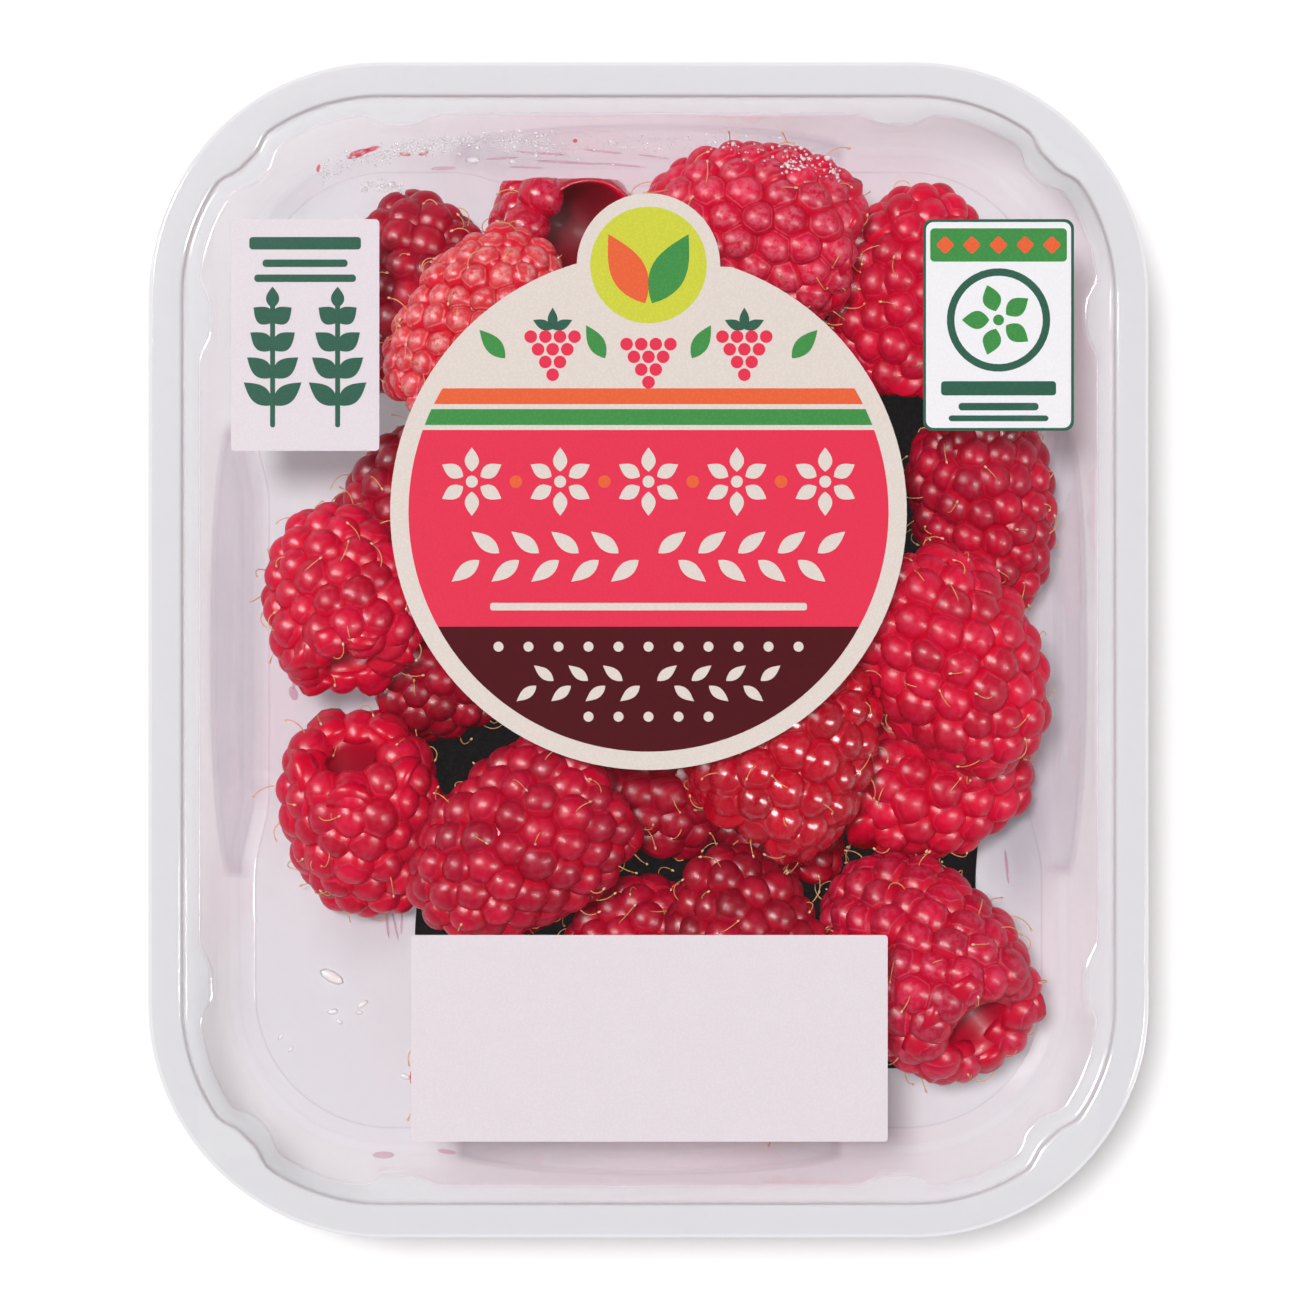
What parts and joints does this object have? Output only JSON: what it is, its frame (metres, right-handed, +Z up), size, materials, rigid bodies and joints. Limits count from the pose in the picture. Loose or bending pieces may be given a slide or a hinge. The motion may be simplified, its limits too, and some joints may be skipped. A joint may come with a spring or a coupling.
{
  "type": "punnet of raspberries",
  "caption": "Clear stepped tray of raspberries on a dark absorbent pad, sealed with a clear film that carries a round badge and small panels.",
  "frame": {"origin": "centre of the tray's flat underside", "axes": "+Z up from the tray's floor to the film, +Y towards the top of the print, along the tray's length"},
  "size_m": [0.12, 0.141, 0.0405],
  "materials": {
    "clear_tray": "clear, glossy thermoformed plastic",
    "clear_film": "clear, glossy, slightly drawn film",
    "absorbent_pad": "embossed, matt",
    "raspberry": "fresh fruit, velvety bloom with moist glints",
    "cream_print": "printed, slightly see-through",
    "red_print": "printed",
    "dark_red_print": "printed, see-through",
    "green_print": "printed",
    "dark_green_print": "printed",
    "orange_print": "printed",
    "yellow_green_print": "printed",
    "white_print": "printed, slightly see-through"
  },
  "bodies": {
    "root": {"tray": "clear_tray", "film": "clear_film", "pad": "absorbent_pad", "raspberries": "raspberry", "badge_border": "cream_print", "badge_red_field": "red_print", "badge_dark_zone": "dark_red_print", "badge_green_band": "green_print", "badge_orange_band": "orange_print", "badge_bar": "cream_print", "badge_tab_dot": "yellow_green_print", "left_panel": "white_print", "right_panel": "dark_green_print", "right_panel_field": "white_print", "date_panel": "white_print"}
  },
  "joints": []
}
